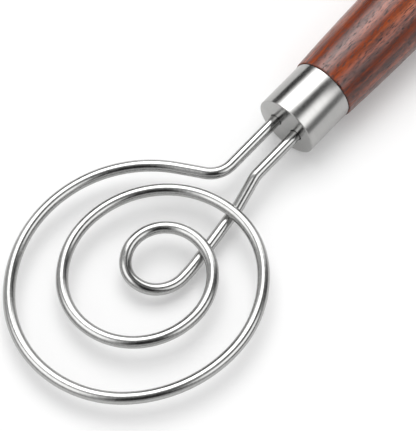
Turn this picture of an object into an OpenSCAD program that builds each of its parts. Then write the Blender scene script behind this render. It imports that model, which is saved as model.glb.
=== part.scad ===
// Dough whisk: one bent steel wire in three loops, a steel ferrule and a turned wooden handle.
// +X runs along the handle towards its tail, +Z is up, the loops lie in the XY plane.
// The origin is the middle of the hanging hole, on the handle's axis.

/* [Wire] */
// Diameter of the wire
wire_d = 4; // [3.2:0.1:4.6]
// Distance between the two legs, centre to centre
leg_gap = 8.5; // [7:0.1:11]
// How far the legs run in behind the ferrule's front face
leg_depth = 60; // [40:1:90]
// Air between the loops and the return leg that passes under them
pass_gap = 0.25; // [0.2:0.05:1]

/* [Loops] */
// Width of the outer loop, over the wire's centre line
outer_w = 77; // [68:1:96]
// Width of the middle loop
middle_w = 47.6; // [40:0.1:54]
// Width of the inner loop
inner_w = 19.2; // [15:0.1:24]
// How far the middle loop sits off the handle's axis
middle_off = 1.6; // [0:0.1:3]
// Ferrule face to the outer loop's far end
outer_toe = 113.6; // [106:0.1:135]
// Ferrule face to the middle loop's far end
middle_toe = 94.8; // [86:0.1:102]
// Ferrule face to the inner loop's far end
inner_toe = 73.2; // [69:0.1:78]
// Ferrule face to the outer loop's near end
outer_heel = 34.8; // [31:0.1:40]
// Ferrule face to the middle loop's near end
middle_heel = 49.6; // [46:0.1:54]

/* [Bends] */
// Ferrule face to the bend where the first leg turns into the outer loop
neck_at = 22.5; // [16:0.1:25]
// Radius of that bend
neck_r = 9.3; // [6:0.1:12]
// Radius of the bends where the return leg climbs back to the ferrule's height
climb_r = 8.2; // [6:0.1:12]
// Angle of the climb, in whole degrees
climb_angle = 20; // [15:1:30]
// Angle between the return leg and the handle's axis, in whole degrees
lead_angle = 8; // [5:1:11]

/* [Ferrule] */
// Outside diameter
ferrule_d = 22.7; // [21:0.1:26]
// Length
ferrule_l = 19; // [14:0.1:30]
// Side wall
ferrule_wall = 1.2; // [0.8:0.1:2]
// Front wall, which the legs pass through
face_wall = 2; // [1:0.1:4]
// Chamfer round the front edge
front_chamfer = 0.35; // [0.1:0.05:0.6]
// Chamfer round the rear edge
rear_chamfer = 0.2; // [0.1:0.05:0.4]

/* [Handle] */
// Length of the wood behind the ferrule
grip_l = 195; // [150:1:230]
// Diameter where the wood meets the ferrule
shoulder_d = 23.5; // [23:0.1:26]
// Rounding of the wood's edge at the ferrule
shoulder_round = 0.6; // [0.3:0.1:1]
// Diameter at the widest place
belly_d = 27.2; // [25:0.1:32]
// Ferrule's rear edge to the widest place
belly_at = 68; // [55:1:90]
// Diameter where the end rounding starts
tail_d = 21; // [18:0.1:24]
// Length of the end rounding
tail_round = 11; // [8:0.5:14]

/* [Hanging hole] */
// Diameter of the hole
hang_d = 6; // [4:0.1:8]
// Hole's middle to the tail's end
hang_inset = 15; // [13:0.5:24]
// Width of the countersink at each mouth
hang_sink = 0.8; // [0.3:0.1:1.2]

/* [Adhesive] */
// Thickness of the adhesive round each leg
leg_bond = 0.3; // [0.2:0.05:0.5]
// Thickness of the adhesive between ferrule and wood
ferrule_bond_t = 0.2; // [0.1:0.05:0.3]
// Adhesive past each leg's end
bond_end = 1.5; // [0.5:0.5:3]

/* [Hidden] */

steel = "silver";
wood = "sienna";
resin = "khaki";

// Ferrule face to the hanging hole: everything is drawn from the ferrule's face and then shifted
face_to_hole = ferrule_l + grip_l - hang_inset;
// The holes for the legs, with room for the adhesive
leg_hole_d = wire_d + 2 * leg_bond;
bore_depth = leg_depth + bond_end;
// The return leg lies one wire and a little air below the loops
drop = wire_d + pass_gap;

// Straight runs of wire between two bends carry this slight bow, in degrees
run_bow = 1;
neck_angle = 60;
lead_r = 60;
under_r = 12;
// Where each loop's end lies between its two sides, and each side between the two ends
toe_share = 0.477;
turn_share = 0.483;
crest_shares = [0.49, 0.44, 0.57, 0.43, 0.57];
inner_heel_share = 0.56;
inner_toe_share = 0.435;
inner_crest_back = 12;

// Unit step along heading h, and the unit vector to its left
function left(h) = [-sin(h), cos(h)];
function between(a, b, share) = a + (b - a) * share;
// Step made by a bend of radius 1 that starts on heading h; turn is positive to the left
function step(h, turn) = sign(turn) * (left(h) - left(h + turn));
// The two lengths that carry a and b to the target
function split(a, b, target) = let (area = cross(a, b)) [cross(target, b) / area, cross(a, target) / area];
// One length of wire is [radius, turn]; a run is a very wide bend of run_bow degrees
function run(length) = [length * 180 / PI / run_bow, run_bow];
function run_step(h) = run(1)[0] * step(h, run_bow);
// A quarter of a loop that covers the step d in two bends of 45 degrees
function quarter(h, d) = let (r = split(step(h, 45), step(h + 45, 45), d)) [[r[0], 45], [r[1], 45]];
// Heading and place at the start of length i
function heading(wire, h, i) = i == 0 ? h : heading(wire, h, i - 1) + wire[i - 1][1];
function reach(wire, h, i) = i == 0 ? [0, 0]
    : reach(wire, h, i - 1) + wire[i - 1][0] * step(heading(wire, h, i - 1), wire[i - 1][1]);

// Side and end points of the loops, in the order that the wire meets them
middle_left = middle_w / 2 + middle_off;
middle_right = middle_off - middle_w / 2;
outer_crest = [between(-outer_heel, -outer_toe, crest_shares[0]), outer_w / 2];
outer_far = [-outer_toe, between(outer_w / 2, -outer_w / 2, toe_share)];
outer_low = [between(-outer_toe, -outer_heel, 1 - crest_shares[1]), -outer_w / 2];
outer_near = [-outer_heel, between(-outer_w / 2, middle_left, turn_share)];
middle_crest = [between(-outer_heel, -middle_toe, crest_shares[2]), middle_left];
middle_far = [-middle_toe, between(middle_left, middle_right, turn_share)];
middle_low = [between(-middle_toe, -middle_heel, 1 - crest_shares[3]), middle_right];
middle_near = [-middle_heel, between(middle_right, inner_w / 2, inner_heel_share)];
inner_crest = [between(-middle_heel, -inner_toe, crest_shares[4]), inner_w / 2];
inner_far = [-inner_toe, between(inner_w / 2, -inner_w / 2, inner_toe_share)];
inner_low = [inner_crest_back - inner_toe, -inner_w / 2];

stations = [outer_crest, outer_far, outer_low, outer_near, middle_crest, middle_far, middle_low,
            middle_near, inner_crest];

// First leg's bend, the run to the outer loop and that loop's first bend
neck_start = [-neck_at, leg_gap / 2];
neck_end = neck_start + neck_r * step(180, -neck_angle);
neck_heading = 180 - neck_angle;
neck_split = split(run_step(neck_heading), step(neck_heading + run_bow, neck_angle - run_bow),
                   outer_crest - neck_end);
level_wire = concat(
    [[neck_r, -neck_angle], run(neck_split[0]), [neck_split[1], neck_angle - run_bow]],
    [for (i = [0 : len(stations) - 2]) each quarter(180 + 90 * i, stations[i + 1] - stations[i])]);

// The inner loop's far half tips down about the wire at its crest, and levels out at its low side
inner_tip = atan2(drop, inner_w);
inner_fall = inner_w / cos(inner_tip);
inner_mid = [inner_far.x - inner_crest.x, (inner_far.y - inner_crest.y) / cos(inner_tip)];
inner_end = [inner_low.x - inner_crest.x, -inner_fall];
falling_wire = concat(quarter(180, inner_mid), quarter(270, inner_end - inner_mid));

// Return leg: out of the inner loop, under the middle and outer loops, then straight again
lead_turn = lead_angle - run_bow;
lead_bends = lead_r * step(0, lead_turn) + under_r * step(lead_angle, -lead_angle);
lead_run = (-outer_heel - inner_low.x - lead_bends.x) / run_step(lead_turn).x;
lead_wire = [[lead_r, lead_turn], run(lead_run), [under_r, -lead_angle]];
lead_end = inner_low + reach(lead_wire, 0, len(lead_wire));

// Climb back to the legs' height, in a plane that leans on the handle's direction
climb_side = -leg_gap / 2 - lead_end.y;
climb_lean = atan2(drop, climb_side);
climb_rise = norm([climb_side, drop]);
climb_bends = climb_r * (step(0, climb_angle) + step(climb_angle + run_bow, -climb_angle - run_bow));
climb_run = (climb_rise - climb_bends.y) / run_step(climb_angle).y;
climb_wire = [[climb_r, climb_angle], run(climb_run), [climb_r, -climb_angle - run_bow]];
climb_reach = reach(climb_wire, 0, len(climb_wire));
kink_at = -lead_end.x - climb_reach.x;

// Handle outline: two long curves that meet at the belly, and a round end
shoulder_x = ferrule_l;
belly_x = ferrule_l + belly_at;
tail_end = ferrule_l + grip_l;
tail_x = tail_end - tail_round;
function grip_r(x) = x < belly_x
    ? belly_d / 2 - (belly_d - shoulder_d) / 2 * pow((belly_x - x) / belly_at, 2)
    : belly_d / 2 - (belly_d - tail_d) / 2 * pow((x - belly_x) / (tail_x - belly_x), 2);
grip_steps = 36;
round_steps = 10;
// The end rounding is a quarter of an oval whose side leans as the grip does where they meet
tail_slope = 2 * (belly_d - tail_d) / 2 / (tail_x - belly_x);
function tail_point(a) = [(tail_d / 2) * cos(a) - tail_slope * tail_round * sin(a) * pow(cos(a), 3),
                          tail_x + tail_round * sin(a)];

spigot_r = ferrule_d / 2 - ferrule_wall - ferrule_bond_t;
ferrule_bore_r = ferrule_d / 2 - ferrule_wall;
cut = 1;

// A place is given in two steps, whole hundredths and the rest, so bends meet without a gap
function whole(v) = [for (c = v) round(c * 100) / 100];
module place(p) {
    translate(whole(p)) translate(p - whole(p)) children();
}
module along_x(x) {
    place([x, 0, 0]) rotate([0, 90, 0]) children();
}
module bend(r, turn, h) {
    side = sign(turn);
    centre = side * r * left(h);
    first = side > 0 ? h - 90 : h + 90 + turn;
    place([centre.x, centre.y, 0])
        rotate_extrude(start = first % 360, angle = abs(turn), $fn = 144)
            place([r, 0]) circle(d = wire_d, $fn = 32);
}
module bends(wire, h) {
    for (i = [0 : len(wire) - 1]) {
        at = reach(wire, h, i);
        place([at.x, at.y, 0]) bend(wire[i][0], wire[i][1], heading(wire, h, i));
    }
}
module straight(length) {
    rotate([0, 90, 0]) cylinder(d = wire_d, h = length, $fn = 32);
}
module from_face() {
    place([-face_to_hole, 0, 0]) children();
}

// The whole wire, from the end of the first leg to the end of the return leg
module whisk_wire() {
    color(steel) from_face() {
        place([neck_start.x, neck_start.y, 0]) {
            straight(neck_at + leg_depth);
            bends(level_wire, 180);
        }
        place([inner_crest.x, inner_crest.y, 0]) rotate([inner_tip, 0, 0]) {
            bends(falling_wire, 180);
            place([inner_end.x, inner_end.y, 0]) rotate([-inner_tip, 0, 0]) return_leg();
        }
    }
}
module return_leg() {
    lead_reach = lead_end - inner_low;
    bends(lead_wire, 0);
    place([lead_reach.x, lead_reach.y, 0]) rotate([climb_lean, 0, 0]) {
        bends(climb_wire, 0);
        place([climb_reach.x, climb_reach.y, 0]) rotate([-climb_lean, 0, 0])
            straight(kink_at + leg_depth);
    }
}

// Steel cup over the wood's front end, with a hole for each leg
module ferrule() {
    r = ferrule_d / 2;
    color(steel) from_face() difference() {
        along_x(0) rotate_extrude($fn = 96) polygon([
            [0, 0], [r - front_chamfer, 0], [r, front_chamfer], [r, ferrule_l - rear_chamfer],
            [r - rear_chamfer, ferrule_l], [ferrule_bore_r, ferrule_l], [ferrule_bore_r, face_wall],
            [0, face_wall]]);
        leg_holes(-cut, face_wall + cut);
    }
}
module leg_holes(from, to) {
    for (side = [-1, 1]) {
        place([from, side * leg_gap / 2, 0]) rotate([0, 90, 0])
            cylinder(d = leg_hole_d, h = to - from, $fn = 48);
    }
}

// Turned wood: a spigot in the ferrule, then the grip with its hanging hole
module handle() {
    color(wood) from_face() difference() {
        along_x(0) rotate_extrude($fn = 96) polygon(handle_outline());
        leg_holes(face_wall - cut, bore_depth);
        place([face_to_hole, 0, 0]) hanging_hole();
    }
}
function handle_outline() = concat(
    [[0, face_wall], [spigot_r, face_wall], [spigot_r, shoulder_x]],
    [for (i = [0 : round_steps / 2])
        let (a = 90 - 180 * i / round_steps)
        [grip_r(shoulder_x + shoulder_round) - shoulder_round * (1 - cos(a)),
         shoulder_x + shoulder_round * (1 - sin(a))]],
    [for (i = [1 : grip_steps])
        let (x = between(shoulder_x + shoulder_round, tail_x, i / grip_steps)) [grip_r(x), x]],
    [for (i = [1 : round_steps - 1]) tail_point(90 * i / round_steps)],
    [[0, tail_end]]);
module hanging_hole() {
    reach_z = belly_d / 2 + cut;
    mouth_z = grip_r(face_to_hole) - hang_sink;
    cylinder(d = hang_d, h = 2 * reach_z, center = true, $fn = 64);
    for (turn = [0, 180]) rotate([turn, 0, 0]) translate([0, 0, mouth_z])
        cylinder(r1 = hang_d / 2, r2 = hang_d / 2 + reach_z - mouth_z, h = reach_z - mouth_z, $fn = 64);
}

// Adhesive round one leg, from the ferrule's front wall to past the leg's end
module wire_bond(side) {
    color(resin) from_face() place([face_wall, side * leg_gap / 2, 0]) rotate([0, 90, 0]) difference() {
        cylinder(d = leg_hole_d, h = bore_depth - face_wall, $fn = 48);
        translate([0, 0, -cut]) cylinder(d = wire_d, h = leg_depth - face_wall + cut, $fn = 48);
    }
}
module wire_bond_left() {
    wire_bond(1);
}
module wire_bond_right() {
    wire_bond(-1);
}
// Thin ring of adhesive between the ferrule's bore and the wood's spigot
module ferrule_bond() {
    color(resin) from_face() along_x(face_wall) difference() {
        cylinder(r = ferrule_bore_r, h = ferrule_l - face_wall, $fn = 96);
        translate([0, 0, -cut]) cylinder(r = spigot_r, h = ferrule_l + cut, $fn = 96);
    }
}

whisk_wire();
ferrule();
handle();
wire_bond_left();
wire_bond_right();
ferrule_bond();
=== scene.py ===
from math import atan, atan2, cos, hypot, pi, radians, sin

import bmesh
import bpy
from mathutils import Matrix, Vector


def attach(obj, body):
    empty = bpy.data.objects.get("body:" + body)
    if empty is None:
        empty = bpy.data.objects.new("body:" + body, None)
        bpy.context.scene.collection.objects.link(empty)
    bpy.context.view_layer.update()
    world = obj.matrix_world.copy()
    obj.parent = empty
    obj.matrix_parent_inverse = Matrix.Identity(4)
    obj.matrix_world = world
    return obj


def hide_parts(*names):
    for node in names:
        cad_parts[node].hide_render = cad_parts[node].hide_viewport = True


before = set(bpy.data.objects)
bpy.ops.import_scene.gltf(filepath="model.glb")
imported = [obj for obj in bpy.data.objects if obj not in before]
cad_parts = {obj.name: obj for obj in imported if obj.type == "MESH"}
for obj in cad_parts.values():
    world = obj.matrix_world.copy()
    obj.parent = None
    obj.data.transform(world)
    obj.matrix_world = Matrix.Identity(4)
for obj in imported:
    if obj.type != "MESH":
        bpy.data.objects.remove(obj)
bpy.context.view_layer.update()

MM = 0.001

# Sizes of the real whisk, in millimetres, as the CAD model has them. First the wire and its two legs
WIRE_D = 4.0
LEG_GAP = 8.5
LEG_DEPTH = 60.0
PASS_GAP = 0.25

# The three loops, and the bends that lead the wire into them and back out under them
OUTER_W, MIDDLE_W, INNER_W = 77.0, 47.6, 19.2
MIDDLE_OFF = 1.6
OUTER_TOE, MIDDLE_TOE, INNER_TOE = 113.6, 94.8, 73.2
OUTER_HEEL, MIDDLE_HEEL = 34.8, 49.6
NECK_AT, NECK_R, NECK_ANGLE = 22.5, 9.3, 60.0
CLIMB_R, CLIMB_ANGLE = 8.2, 20.0
LEAD_ANGLE, LEAD_R, UNDER_R = 8.0, 60.0, 12.0

# The ferrule, the handle and the adhesive
FERRULE_D, FERRULE_L, FERRULE_WALL, FACE_WALL = 22.7, 19.0, 1.2, 2.0
FRONT_CHAMFER, REAR_CHAMFER = 0.35, 0.2
GRIP_L, SHOULDER_D, SHOULDER_ROUND = 195.0, 23.5, 0.6
BELLY_D, BELLY_AT, TAIL_D, TAIL_ROUND = 27.2, 68.0, 21.0, 11.0
HANG_D, HANG_INSET, HANG_SINK = 6.0, 15.0, 0.8
LEG_BOND, FERRULE_BOND, BOND_END = 0.3, 0.2, 1.5

# The open joint between the ferrule's rim and the wood's shoulder
JOINT_GAP = 0.3

# Places that follow from the sizes
FACE_TO_HOLE = FERRULE_L + GRIP_L - HANG_INSET
BELLY_X = FERRULE_L + BELLY_AT
TAIL_X = FERRULE_L + GRIP_L - TAIL_ROUND
LEG_HOLE_R = WIRE_D / 2 + LEG_BOND
BORE_DEPTH = LEG_DEPTH + BOND_END
DROP = WIRE_D + PASS_GAP

# Where each loop's widest and farthest points lie, as shares of the way between its heel and toe or its sides
TOE_SHARE, TURN_SHARE = 0.477, 0.483
CREST_SHARES = (0.49, 0.44, 0.57, 0.43, 0.57)
INNER_HEEL_SHARE, INNER_TOE_SHARE, INNER_CREST_BACK = 0.56, 0.435, 12.0

# A straight run of the wire is a bend of this few degrees
RUN_BOW = 1.0

# Fineness of the meshes: sides round each piece, rings along the grip, and how far a cutter stands out
WIRE_SIDES, CUP_SIDES, GRIP_SIDES, LEG_HOLE_SIDES, HANG_HOLE_SIDES = 28, 192, 144, 48, 64
BODY_RINGS, TAIL_RINGS = 90, 24
OVERCUT = 1.0
AXIS_R = 1e-6


# Plane steps of the wire: a bend is (radius, turn), positive to the left, and a heading is in degrees
def left(h):
    return (-sin(radians(h)), cos(radians(h)))


def step(h, turn):
    """The step of a bend of radius 1 that starts on heading h."""
    a, b = left(h), left(h + turn)
    side = 1 if turn > 0 else -1
    return (side * (a[0] - b[0]), side * (a[1] - b[1]))


def times(k, v):
    return (k * v[0], k * v[1])


def plus(a, b):
    return (a[0] + b[0], a[1] + b[1])


def minus(a, b):
    return (a[0] - b[0], a[1] - b[1])


def between(a, b, share):
    return a + (b - a) * share


def cross(a, b):
    return a[0] * b[1] - a[1] * b[0]


def split(a, b, target):
    """How many of step a and of step b together reach the target."""
    area = cross(a, b)
    return cross(target, b) / area, cross(a, target) / area


def run(length):
    return (length * 180 / pi / RUN_BOW, RUN_BOW)


def run_step(h):
    return times(run(1)[0], step(h, RUN_BOW))


def quarter(h, d):
    """A quarter oval that starts on heading h and makes the step d: two bends of half a right angle."""
    first, second = split(step(h, 45), step(h + 45, 45), d)
    return [(first, 45), (second, 45)]


def bends(wire, h, spacing=0.8):
    """Points along a row of bends that starts at the origin on heading h."""
    at, points = (0.0, 0.0), [(0.0, 0.0)]
    for radius, turn in wire:
        count = max(2, round(radius * radians(abs(turn)) / spacing))
        for i in range(1, count + 1):
            points.append(plus(at, times(radius, step(h, turn * i / count))))
        at = points[-1]
        h += turn
    return points


def straight(a, b, spacing=2.0):
    count = max(2, round(abs(b[0] - a[0]) / spacing))
    return [tuple(between(a[k], b[k], i / count) for k in range(3)) for i in range(count + 1)]


def wire_route():
    """The wire's centre line from the first leg's end to the return leg's end, from the ferrule's face."""
    middle_left, middle_right = MIDDLE_OFF + MIDDLE_W / 2, MIDDLE_OFF - MIDDLE_W / 2
    half = OUTER_W / 2
    stations = [
        (between(-OUTER_HEEL, -OUTER_TOE, CREST_SHARES[0]), half),
        (-OUTER_TOE, between(half, -half, TOE_SHARE)),
        (between(-OUTER_TOE, -OUTER_HEEL, 1 - CREST_SHARES[1]), -half),
        (-OUTER_HEEL, between(-half, middle_left, TURN_SHARE)),
        (between(-OUTER_HEEL, -MIDDLE_TOE, CREST_SHARES[2]), middle_left),
        (-MIDDLE_TOE, between(middle_left, middle_right, TURN_SHARE)),
        (between(-MIDDLE_TOE, -MIDDLE_HEEL, 1 - CREST_SHARES[3]), middle_right),
        (-MIDDLE_HEEL, between(middle_right, INNER_W / 2, INNER_HEEL_SHARE)),
        (between(-MIDDLE_HEEL, -INNER_TOE, CREST_SHARES[4]), INNER_W / 2),
    ]

    # The first leg, the neck and the level loops, as far as the inner loop's crest
    neck = (-NECK_AT, LEG_GAP / 2)
    neck_end = plus(neck, times(NECK_R, step(180, -NECK_ANGLE)))
    h = 180 - NECK_ANGLE
    rest_turn = NECK_ANGLE - RUN_BOW
    neck_run, first_r = split(run_step(h), step(h + RUN_BOW, rest_turn), minus(stations[0], neck_end))
    level = [(NECK_R, -NECK_ANGLE), run(neck_run), (first_r, rest_turn)]
    for i in range(len(stations) - 1):
        level += quarter(180 + 90 * i, minus(stations[i + 1], stations[i]))
    route = straight((LEG_DEPTH, LEG_GAP / 2, 0.0), (*neck, 0.0))
    route += [(*plus(neck, p), 0.0) for p in bends(level, 180)[1:]]

    # The inner loop's far half leans down about its crest
    crest = stations[-1]
    tip = atan2(DROP, INNER_W)
    toe_y = between(INNER_W / 2, -INNER_W / 2, INNER_TOE_SHARE)
    far = (-INNER_TOE - crest[0], (toe_y - crest[1]) / cos(tip))
    low = (INNER_CREST_BACK - INNER_TOE, -INNER_W / 2)
    end = (low[0] - crest[0], -INNER_W / cos(tip))
    falling = quarter(180, far) + quarter(270, minus(end, far))
    route += [(crest[0] + x, crest[1] + y * cos(tip), y * sin(tip)) for x, y in bends(falling, 180)[1:]]

    # The lead passes level under the loops
    lead_turn = LEAD_ANGLE - RUN_BOW
    lead_bends = plus(times(LEAD_R, step(0, lead_turn)), times(UNDER_R, step(LEAD_ANGLE, -LEAD_ANGLE)))
    lead_run = (-OUTER_HEEL - low[0] - lead_bends[0]) / run_step(lead_turn)[0]
    lead = bends([(LEAD_R, lead_turn), run(lead_run), (UNDER_R, -LEAD_ANGLE)], 0)
    route += [(*plus(low, p), -DROP) for p in lead[1:]]

    # A leaning climb brings the wire up to the legs' height, and the return leg runs back beside the first
    lead_end = plus(low, lead[-1])
    side = -LEG_GAP / 2 - lead_end[1]
    lean, rise = atan2(DROP, side), hypot(side, DROP)
    back_turn = -CLIMB_ANGLE - RUN_BOW
    climb_bends = times(CLIMB_R, plus(step(0, CLIMB_ANGLE), step(CLIMB_ANGLE + RUN_BOW, back_turn)))
    climb_run = (rise - climb_bends[1]) / run_step(CLIMB_ANGLE)[1]
    climb = bends([(CLIMB_R, CLIMB_ANGLE), run(climb_run), (CLIMB_R, back_turn)], 0)
    route += [(lead_end[0] + x, lead_end[1] + y * cos(lean), -DROP + y * sin(lean)) for x, y in climb[1:]]
    route += straight((route[-1][0], -LEG_GAP / 2, 0.0), (LEG_DEPTH, -LEG_GAP / 2, 0.0))[1:]
    return route


def to_frame(point):
    """A point in millimetres from the ferrule's face, in metres from the hanging hole."""
    return ((point[0] - FACE_TO_HOLE) * MM, point[1] * MM, point[2] * MM)


# Nodes of the materials
def new_material(name):
    material = bpy.data.materials.new(name)
    material.use_nodes = True
    nodes = material.node_tree.nodes
    return material, nodes, material.node_tree.links, nodes["Principled BSDF"]


def add_node(nodes, kind, **values):
    """A new node, with each value set on the input of that name or else on the node itself."""
    node = nodes.new(kind)
    for key, value in values.items():
        if key in node.inputs:
            node.inputs[key].default_value = value
        else:
            setattr(node, key, value)
    return node


def math_node(nodes, links, operation, *inputs):
    node = add_node(nodes, "ShaderNodeMath", operation=operation)
    for socket, value in zip(node.inputs, inputs):
        if isinstance(value, (int, float)):
            socket.default_value = value
        else:
            links.new(value, socket)
    return node.outputs["Value"]


def map_range(nodes, links, source, limits, results, **values):
    """The source, carried from its limits to the results and held there outside them."""
    node = add_node(nodes, "ShaderNodeMapRange", **values)
    node.inputs["From Min"].default_value, node.inputs["From Max"].default_value = limits
    node.inputs["To Min"].default_value, node.inputs["To Max"].default_value = results
    links.new(source, node.inputs["Value"])
    return node.outputs["Result"]


def stretched_noise(nodes, links, stretch, scale, detail=4.0, roughness=0.5, turn=(0, 0, 0)):
    coords = nodes.new("ShaderNodeTexCoord")
    mapping = add_node(nodes, "ShaderNodeMapping", Scale=stretch, Rotation=turn)
    links.new(coords.outputs["Object"], mapping.inputs["Vector"])
    noise = add_node(nodes, "ShaderNodeTexNoise", Scale=scale, Detail=detail, Roughness=roughness)
    links.new(mapping.outputs["Vector"], noise.inputs["Vector"])
    return noise.outputs["Fac"]


def ramp(nodes, links, source, stops):
    node = nodes.new("ShaderNodeValToRGB")
    elements = node.color_ramp.elements
    while len(elements) < len(stops):
        elements.new(0.5)
    for element, (place, colour) in zip(elements, stops):
        element.position = place
        element.color = (*colour, 1.0)
    links.new(source, node.inputs["Fac"])
    return node.outputs["Color"]


def add_bump(nodes, links, shader, height, strength, distance):
    bump = add_node(nodes, "ShaderNodeBump", Strength=strength, Distance=distance)
    links.new(height, bump.inputs["Height"])
    links.new(bump.outputs["Normal"], shader.inputs["Normal"])


# Materials
def polished_wire():
    material, nodes, links, shader = new_material("polished_stainless_wire")
    fine = stretched_noise(nodes, links, (1, 1, 1), 900.0, 3.0)
    tone = ramp(nodes, links, fine, [(0.3, (0.36, 0.36, 0.355)), (0.7, (0.42, 0.42, 0.415))])
    links.new(tone, shader.inputs["Base Color"])
    links.new(map_range(nodes, links, fine, (0.0, 1.0), (0.12, 0.22)), shader.inputs["Roughness"])
    shader.inputs["Metallic"].default_value = 1.0
    add_bump(nodes, links, shader, fine, 0.06, 0.0002)
    return material


def brushed_ferrule():
    material, nodes, links, shader = new_material("brushed_stainless_ferrule")
    lines = stretched_noise(nodes, links, (60, 1, 1), 120.0, 6.0, 0.65)
    specks = stretched_noise(nodes, links, (1, 1, 1), 1400.0, 2.0)
    tone = ramp(nodes, links, lines, [(0.3, (0.37, 0.368, 0.36)), (0.7, (0.43, 0.427, 0.42))])
    links.new(tone, shader.inputs["Base Color"])
    links.new(map_range(nodes, links, specks, (0.0, 1.0), (0.15, 0.25)), shader.inputs["Roughness"])
    shader.inputs["Metallic"].default_value = 1.0
    add_bump(nodes, links, shader, lines, 0.05, 0.0001)
    return material


def oiled_hardwood():
    """Red-brown hardwood: growth bands, fine streaks and short open pores, all along the handle."""
    painted_shade_fall = 5.0
    pore_edge = (0.37, 0.43)
    material, nodes, links, shader = new_material("oiled_red_hardwood")
    bands = stretched_noise(nodes, links, (7, 90, 230), 1.0, 5.0, 0.6, (0, radians(1.0), radians(1.5)))
    grain = stretched_noise(nodes, links, (60, 1000, 1000), 1.0, 3.0, 0.6)
    pores = stretched_noise(nodes, links, (420, 3200, 3200), 1.0, 1.0, 0.5)

    # Painted shade: the wood's colour darkens towards the grip's -Y side, the side away from the lamp
    coords = nodes.new("ShaderNodeTexCoord")
    parts = nodes.new("ShaderNodeSeparateXYZ")
    links.new(coords.outputs["Object"], parts.inputs["Vector"])
    side = math_node(nodes, links, "MULTIPLY", parts.outputs["Y"], painted_shade_fall)

    # The bands and the painted shade give the colour, and the streaks and the pores darken it
    colour = ramp(nodes, links, math_node(nodes, links, "ADD", bands, side), [
        (0.34, (0.070, 0.015, 0.007)), (0.44, (0.140, 0.027, 0.010)),
        (0.54, (0.215, 0.042, 0.013)), (0.68, (0.290, 0.070, 0.024))])
    streaks = ramp(nodes, links, grain, [(0.38, (0.50, 0.45, 0.45)), (0.60, (1.35, 1.35, 1.35))])
    dashes = ramp(nodes, links, pores, [(pore_edge[0], (0.15, 0.13, 0.15)), (pore_edge[1], (1.0, 1.0, 1.0))])
    for layer in (streaks, dashes):
        mix = add_node(nodes, "ShaderNodeMix", data_type="RGBA", blend_type="MULTIPLY")
        mix.inputs["Factor"].default_value = 1.0
        links.new(colour, mix.inputs["A"])
        links.new(layer, mix.inputs["B"])
        colour = mix.outputs["Result"]
    links.new(colour, shader.inputs["Base Color"])

    # The pores are matt, and the wood between them is satin
    matt = map_range(nodes, links, pores, pore_edge, (0.55, 0.0))
    satin = map_range(nodes, links, grain, (0.38, 0.62), (0.30, 0.15))
    links.new(math_node(nodes, links, "MAXIMUM", matt, satin), shader.inputs["Roughness"])
    shader.inputs["Specular IOR Level"].default_value = 0.55
    grooves = math_node(nodes, links, "ADD", math_node(nodes, links, "MULTIPLY", grain, 0.5),
                        math_node(nodes, links, "MINIMUM", pores, pore_edge[1]))
    add_bump(nodes, links, shader, grooves, 0.3, 0.0001)
    return material


def cured_adhesive():
    material, nodes, links, shader = new_material("cured_adhesive")
    cloud = stretched_noise(nodes, links, (1, 1, 1), 500.0, 3.0)
    tone = ramp(nodes, links, cloud, [(0.3, (0.16, 0.12, 0.06)), (0.7, (0.30, 0.24, 0.13))])
    links.new(tone, shader.inputs["Base Color"])
    shader.inputs["Roughness"].default_value = 0.4
    return material


# Pieces
def new_object(name, data):
    thing = bpy.data.objects.new(name, data)
    bpy.context.collection.objects.link(thing)
    return thing


def plain_mesh(source, name):
    """Turns an object's evaluated shape into a plain mesh object and removes the source."""
    depsgraph = bpy.context.evaluated_depsgraph_get()
    mesh = bpy.data.meshes.new_from_object(source.evaluated_get(depsgraph), depsgraph=depsgraph)
    mesh.name = name
    piece = new_object(name, mesh)
    bpy.data.objects.remove(source)
    return piece


def tube_tree(material):
    """Geometry Nodes: a round wire along a curve, with its radius and its number of sides as inputs."""
    tree = bpy.data.node_groups.new("wire_along_route", "GeometryNodeTree")
    tree.interface.new_socket("Geometry", in_out="INPUT", socket_type="NodeSocketGeometry")
    radius = tree.interface.new_socket("Wire Radius", in_out="INPUT", socket_type="NodeSocketFloat")
    sides = tree.interface.new_socket("Sides", in_out="INPUT", socket_type="NodeSocketInt")
    tree.interface.new_socket("Geometry", in_out="OUTPUT", socket_type="NodeSocketGeometry")
    nodes, links = tree.nodes, tree.links
    source, target = nodes.new("NodeGroupInput"), nodes.new("NodeGroupOutput")
    profile = nodes.new("GeometryNodeCurvePrimitiveCircle")
    sweep = nodes.new("GeometryNodeCurveToMesh")
    sweep.inputs["Fill Caps"].default_value = True
    shade = nodes.new("GeometryNodeSetShadeSmooth")
    whole = nodes.new("GeometryNodeRealizeInstances")
    paint = nodes.new("GeometryNodeSetMaterial")
    paint.inputs["Material"].default_value = material
    links.new(source.outputs["Geometry"], sweep.inputs["Curve"])
    links.new(source.outputs["Wire Radius"], profile.inputs["Radius"])
    links.new(source.outputs["Sides"], profile.inputs["Resolution"])
    links.new(profile.outputs["Curve"], sweep.inputs["Profile Curve"])
    links.new(sweep.outputs["Mesh"], shade.inputs["Geometry"])
    links.new(shade.outputs["Geometry"], whole.inputs["Geometry"])
    links.new(whole.outputs["Geometry"], paint.inputs["Geometry"])
    links.new(paint.outputs["Geometry"], target.inputs["Geometry"])
    return tree, radius.identifier, sides.identifier


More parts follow.
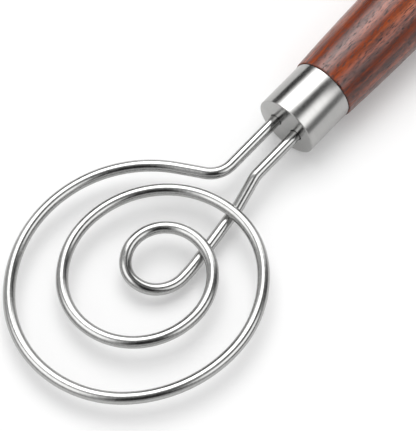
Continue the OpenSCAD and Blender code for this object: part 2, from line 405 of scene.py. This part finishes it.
def bent_wire(material):
    cut_end_angle = 60
    points = [to_frame(p) for p in wire_route()]
    curve = bpy.data.curves.new("wire_route", "CURVE")
    curve.dimensions = "3D"
    spline = curve.splines.new("POLY")
    spline.points.add(len(points) - 1)
    for point, place in zip(spline.points, points):
        point.co = (*place, 1.0)
    source = new_object("wire_route", curve)
    tree, radius, sides = tube_tree(material)
    modifier = source.modifiers.new("wire", "NODES")
    modifier.node_group = tree
    modifier[radius] = WIRE_D / 2 * MM
    modifier[sides] = WIRE_SIDES
    piece = plain_mesh(source, "spiral_wire")
    piece.data.set_sharp_from_angle(angle=radians(cut_end_angle))
    return piece


def arc(centre, radius, start, end, count):
    """Points (x along the handle, r from its axis) on an arc, angles in degrees from +x to +r."""
    angles = [radians(between(start, end, i / count)) for i in range(count + 1)]
    return [(centre[0] + radius * cos(a), centre[1] + radius * sin(a)) for a in angles]


def ring(mesh, x, r, sides):
    """One ring of points round the handle's axis, or a single point where the ring has no radius."""
    if r < AXIS_R:
        return [mesh.verts.new(to_frame((x, 0, 0)))]
    angles = [2 * pi * i / sides for i in range(sides)]
    return [mesh.verts.new(to_frame((x, r * cos(a), r * sin(a)))) for a in angles]


def turned(name, outline, sides):
    """A closed solid turned round the handle's axis from an outline of (x, r) in millimetres."""
    mesh = bmesh.new()
    rings = [ring(mesh, x, r, sides) for x, r in outline]
    for near, far in zip(rings, rings[1:]):
        for i in range(sides):
            k = (i + 1) % sides
            if len(near) == 1:
                mesh.faces.new((near[0], far[k], far[i]))
            elif len(far) == 1:
                mesh.faces.new((near[i], near[k], far[0]))
            else:
                mesh.faces.new((near[i], near[k], far[k], far[i]))
    bmesh.ops.recalc_face_normals(mesh, faces=mesh.faces)
    data = bpy.data.meshes.new(name)
    mesh.to_mesh(data)
    mesh.free()
    return new_object(name, data)


def leg_cutter(start, end, y):
    """A round bar between two x places, beside the handle's axis."""
    outline = [(start, 0), (start, LEG_HOLE_R), (end, LEG_HOLE_R), (end, 0)]
    bar = turned("leg_cutter", outline, LEG_HOLE_SIDES)
    for vertex in bar.data.vertices:
        vertex.co.y += y * MM
    return bar


def leg_cutters(start, end):
    return [leg_cutter(start, end, side * LEG_GAP / 2) for side in (-1, 1)]


def cut(piece, cutters, name):
    for cutter in cutters:
        modifier = piece.modifiers.new("cut", "BOOLEAN")
        modifier.object = cutter
        modifier.solver = "EXACT"
    result = plain_mesh(piece, name)
    for cutter in cutters:
        bpy.data.objects.remove(cutter)
    return result


def smooth(piece, material, edge_angle=28):
    piece.data.materials.clear()
    piece.data.materials.append(material)
    for polygon in piece.data.polygons:
        polygon.use_smooth = True
        polygon.material_index = 0
    piece.data.set_sharp_from_angle(angle=radians(edge_angle))
    return piece


def ferrule_cup(material):
    r = FERRULE_D / 2
    bore = r - FERRULE_WALL
    outline = [(0, 0), (0, r - FRONT_CHAMFER)]
    outline += arc((FRONT_CHAMFER, r - FRONT_CHAMFER), FRONT_CHAMFER, 180, 90, 5)[1:]
    outline += arc((FERRULE_L - REAR_CHAMFER, r - REAR_CHAMFER), REAR_CHAMFER, 90, 0, 4)
    outline += [(FERRULE_L, bore), (FACE_WALL, bore), (FACE_WALL, 0)]
    blank = turned("ferrule_blank", outline, CUP_SIDES)
    return smooth(cut(blank, leg_cutters(-OVERCUT, FACE_WALL + OVERCUT), "ferrule_cup"), material)


def grip_r(x):
    """The handle's radius, a parabola on each side of its belly."""
    if x < BELLY_X:
        return BELLY_D / 2 - (BELLY_D - SHOULDER_D) / 2 * ((BELLY_X - x) / BELLY_AT) ** 2
    return BELLY_D / 2 - (BELLY_D - TAIL_D) / 2 * ((x - BELLY_X) / (TAIL_X - BELLY_X)) ** 2


def hang_cutter():
    """A bar across the handle for the hanging hole, wider at both mouths for the countersinks."""
    reach = BELLY_D / 2 + OVERCUT
    mouth = grip_r(FACE_TO_HOLE) - HANG_SINK
    wide = HANG_D / 2 + reach - mouth
    front = [(-reach, 0), (-reach, wide), (-mouth, HANG_D / 2)]
    outline = front + [(-x, r) for x, r in reversed(front)]
    piece = turned("hang_cutter", [(x + FACE_TO_HOLE, r) for x, r in outline], HANG_HOLE_SIDES)
    for vertex in piece.data.vertices:
        x, z = vertex.co.x, vertex.co.z
        vertex.co.x, vertex.co.z = -z, x
    return piece


def turned_grip(material):
    spigot = FERRULE_D / 2 - FERRULE_WALL - FERRULE_BOND
    shoulder_end = FERRULE_L + SHOULDER_ROUND
    outline = [(FACE_WALL, 0), (FACE_WALL, spigot), (FERRULE_L + JOINT_GAP, spigot)]
    outline += [(FERRULE_L + JOINT_GAP, FERRULE_D / 2 - JOINT_GAP)]
    outline += arc((shoulder_end, grip_r(shoulder_end) - SHOULDER_ROUND), SHOULDER_ROUND, 150, 90, 6)
    places = [between(shoulder_end, TAIL_X, i / BODY_RINGS) for i in range(1, BODY_RINGS + 1)]
    outline += [(x, grip_r(x)) for x in places]

    # The tail's round end starts on the body's own slope
    slope = (BELLY_D - TAIL_D) / (TAIL_X - BELLY_X)
    for i in range(1, TAIL_RINGS):
        a = radians(90 * i / TAIL_RINGS)
        r = TAIL_D / 2 * cos(a) - slope * TAIL_ROUND * sin(a) * cos(a) ** 3
        outline.append((TAIL_X + TAIL_ROUND * sin(a), r))
    outline.append((TAIL_X + TAIL_ROUND, 0))
    blank = turned("grip_blank", outline, GRIP_SIDES)
    cutters = leg_cutters(FACE_WALL - OVERCUT, BORE_DEPTH) + [hang_cutter()]
    return smooth(cut(blank, cutters, "turned_grip"), material)


# The light tent that polished metal reflects: soft panels and dark gaps. A "sky" panel is placed by azimuth
# and zenith angle, a "grip" panel by its roll round the handle's axis and its pitch towards the tail. Then
# come half its spread in both, the softness of its edges, all in degrees, and its level
TENT_LEVEL = 0.66
TENT_PANELS = (
    ("back_panel", "sky", (42, 43), (49, 25), (10, 9), 2.9),
    ("left_panel", "sky", (158, 38), (34, 20), (12, 12), 2.5),
    ("camera_gap", "sky", (238, 34), (31, 30), (8, 8), 0.03),
    ("crown_gap", "sky", (250, 4), (75, 12), (25, 6), 0.25),
    ("back_panel_core", "grip", (31, 24), (14, 18), (13, 8), 6.0),
    ("front_panel", "grip", (-45, 14), (16, 20), (10, 8), 2.4),
    ("front_panel_edge", "sky", (329, 62), (12, 18), (6, 8), 0.10),
    ("crown_strip", "grip", (-10, 26), (12, 14), (7, 8), 0.06),
    ("front_skirt", "grip", (-78, 24), (10, 16), (6, 6), 0.25),
    ("back_skirt", "grip", (81, 24), (20, 14), (11, 6), 0.04),
)


def within(nodes, links, angle, centre, half, soft):
    """1 where an angle in degrees is inside centre +- half, falling smoothly to 0 over the soft edge."""
    offset = math_node(nodes, links, "SUBTRACT", angle, float(centre))
    wrapped = math_node(nodes, links, "WRAP", offset, 180.0, -180.0)
    away = math_node(nodes, links, "ABSOLUTE", wrapped)
    edge = (half + soft, half - soft)
    return map_range(nodes, links, away, edge, (0.0, 1.0), interpolation_type="SMOOTHSTEP")


def tent_level(nodes, links):
    """The tent's level in each direction: each panel is laid over those before it."""
    coords = nodes.new("ShaderNodeTexCoord")
    parts = nodes.new("ShaderNodeSeparateXYZ")
    links.new(coords.outputs["Generated"], parts.inputs["Vector"])
    x, y, z = (parts.outputs[axis] for axis in "XYZ")

    def angle(operation, *sides):
        return math_node(nodes, links, "DEGREES", math_node(nodes, links, operation, *sides))

    angles = {"sky": (angle("ARCTAN2", y, x), angle("ARCCOSINE", z)),
              "grip": (angle("ARCTAN2", y, z), angle("ARCSINE", x))}
    level = TENT_LEVEL
    for name, kind, centre, half, soft, panel_level in TENT_PANELS:
        spans = [within(nodes, links, *limits) for limits in zip(angles[kind], centre, half, soft)]
        mix = add_node(nodes, "ShaderNodeMix", data_type="FLOAT", label=name)
        links.new(math_node(nodes, links, "MULTIPLY", *spans), mix.inputs["Factor"])
        if isinstance(level, float):
            mix.inputs["A"].default_value = level
        else:
            links.new(level, mix.inputs["A"])
        mix.inputs["B"].default_value = panel_level
        level = mix.outputs["Result"]
    return level


def overhead_softbox():
    """A soft lamp over the loops, a little beyond them from the camera. Metal reflects the tent instead."""
    loops_at, towards_lamp = 40, Vector((0.283, 0.314, 0.851))
    side, power = 0.7, 4.9
    loops = Vector(to_frame((-loops_at, 0, 0)))
    data = bpy.data.lights.new("overhead_softbox", "AREA")
    data.shape = "RECTANGLE"
    data.size, data.size_y = side, side
    data.energy = power
    lamp = new_object("overhead_softbox", data)
    lamp.location = loops + towards_lamp
    lamp.rotation_euler = (loops - lamp.location).to_track_quat("-Z", "Y").to_euler()
    lamp.visible_glossy = False


def light_tent():
    """The world: an even level for matt surfaces, white for the camera and the tent for gloss."""
    even_level, white = 0.70, 1.0
    world = bpy.data.worlds.new("light_tent")
    bpy.context.scene.world = world
    world.use_nodes = True
    nodes, links = world.node_tree.nodes, world.node_tree.links
    paths = nodes.new("ShaderNodeLightPath")
    plain = add_node(nodes, "ShaderNodeMix", data_type="FLOAT")
    plain.inputs["A"].default_value = even_level
    plain.inputs["B"].default_value = white
    links.new(paths.outputs["Is Camera Ray"], plain.inputs["Factor"])
    both = add_node(nodes, "ShaderNodeMix", data_type="FLOAT")
    links.new(paths.outputs["Is Glossy Ray"], both.inputs["Factor"])
    links.new(plain.outputs["Result"], both.inputs["A"])
    links.new(tent_level(nodes, links), both.inputs["B"])
    links.new(both.outputs["Result"], nodes["Background"].inputs["Color"])


def rest_slope():
    """The floor's fall towards the tail: the whisk lies on the ferrule's front edge and the grip's swell."""
    swell = range(round(FERRULE_L) + 1, round(BELLY_X))
    return max((grip_r(x) - FERRULE_D / 2) / x for x in swell)


def white_sweep():
    """Matt white that keeps the shadows, with a little glow where it is seen or reflected."""
    whiteness, glow_level = 0.85, 0.13
    material, nodes, links, shader = new_material("white_sweep")
    shader.inputs["Base Color"].default_value = (whiteness, whiteness, whiteness, 1.0)
    shader.inputs["Roughness"].default_value = 0.9
    shader.inputs["Specular IOR Level"].default_value = 0.0
    glow = add_node(nodes, "ShaderNodeEmission", Color=(1.0, 1.0, 1.0, 1.0))
    rays = nodes.new("ShaderNodeLightPath").outputs
    seen = math_node(nodes, links, "MAXIMUM", rays["Is Camera Ray"], rays["Is Glossy Ray"])
    seen = math_node(nodes, links, "MAXIMUM", seen, rays["Is Transmission Ray"])
    links.new(math_node(nodes, links, "MULTIPLY", seen, glow_level), glow.inputs["Strength"])
    both = nodes.new("ShaderNodeAddShader")
    links.new(shader.outputs["BSDF"], both.inputs[0])
    links.new(glow.outputs["Emission"], both.inputs[1])
    links.new(both.outputs["Shader"], nodes["Material Output"].inputs["Surface"])
    return material


def pale_floor(slope):
    half_side = 3.0
    mesh = bmesh.new()
    bmesh.ops.create_grid(mesh, x_segments=1, y_segments=1, size=half_side)
    data = bpy.data.meshes.new("floor")
    mesh.to_mesh(data)
    mesh.free()
    data.materials.append(white_sweep())
    floor = new_object("floor", data)
    floor.location = to_frame((0, 0, -FERRULE_D / 2))
    floor.rotation_euler = (0.0, atan(slope), 0.0)


def photo_camera():
    """The photograph's view: from 66.4 degrees above the loops, 48.1 degrees off the handle's axis."""
    focal_px, image_w, sensor = 1400.0, 416.0, 36.0
    elevation, azimuth = 66.4, 48.08
    place = (-175.8, -123.1, 414.4)
    data = bpy.data.cameras.new("camera")
    data.sensor_fit = "HORIZONTAL"
    data.sensor_width = sensor
    data.lens = focal_px / image_w * sensor
    data.clip_start, data.clip_end = 0.01, 20.0
    camera = new_object("camera", data)
    camera.rotation_euler = (radians(90 - elevation), 0.0, radians(-azimuth))
    camera.location = to_frame(place)
    bpy.context.scene.camera = camera


wire = bent_wire(polished_wire())
cup = ferrule_cup(brushed_ferrule())
grip = turned_grip(oiled_hardwood())
adhesive = cured_adhesive()
for piece, node, slot in ((wire, "whisk_wire", "wire_steel"), (cup, "ferrule", "ferrule_steel"),
                          (grip, "handle", "handle_wood")):
    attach(piece, "root")
    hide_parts(node)
for node in ("wire_bond_left", "wire_bond_right", "ferrule_bond"):
    for material_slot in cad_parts[node].material_slots:
        material_slot.material = adhesive

photo_camera()
overhead_softbox()
light_tent()
pale_floor(rest_slope())
bpy.context.scene.view_settings.view_transform = "Standard"
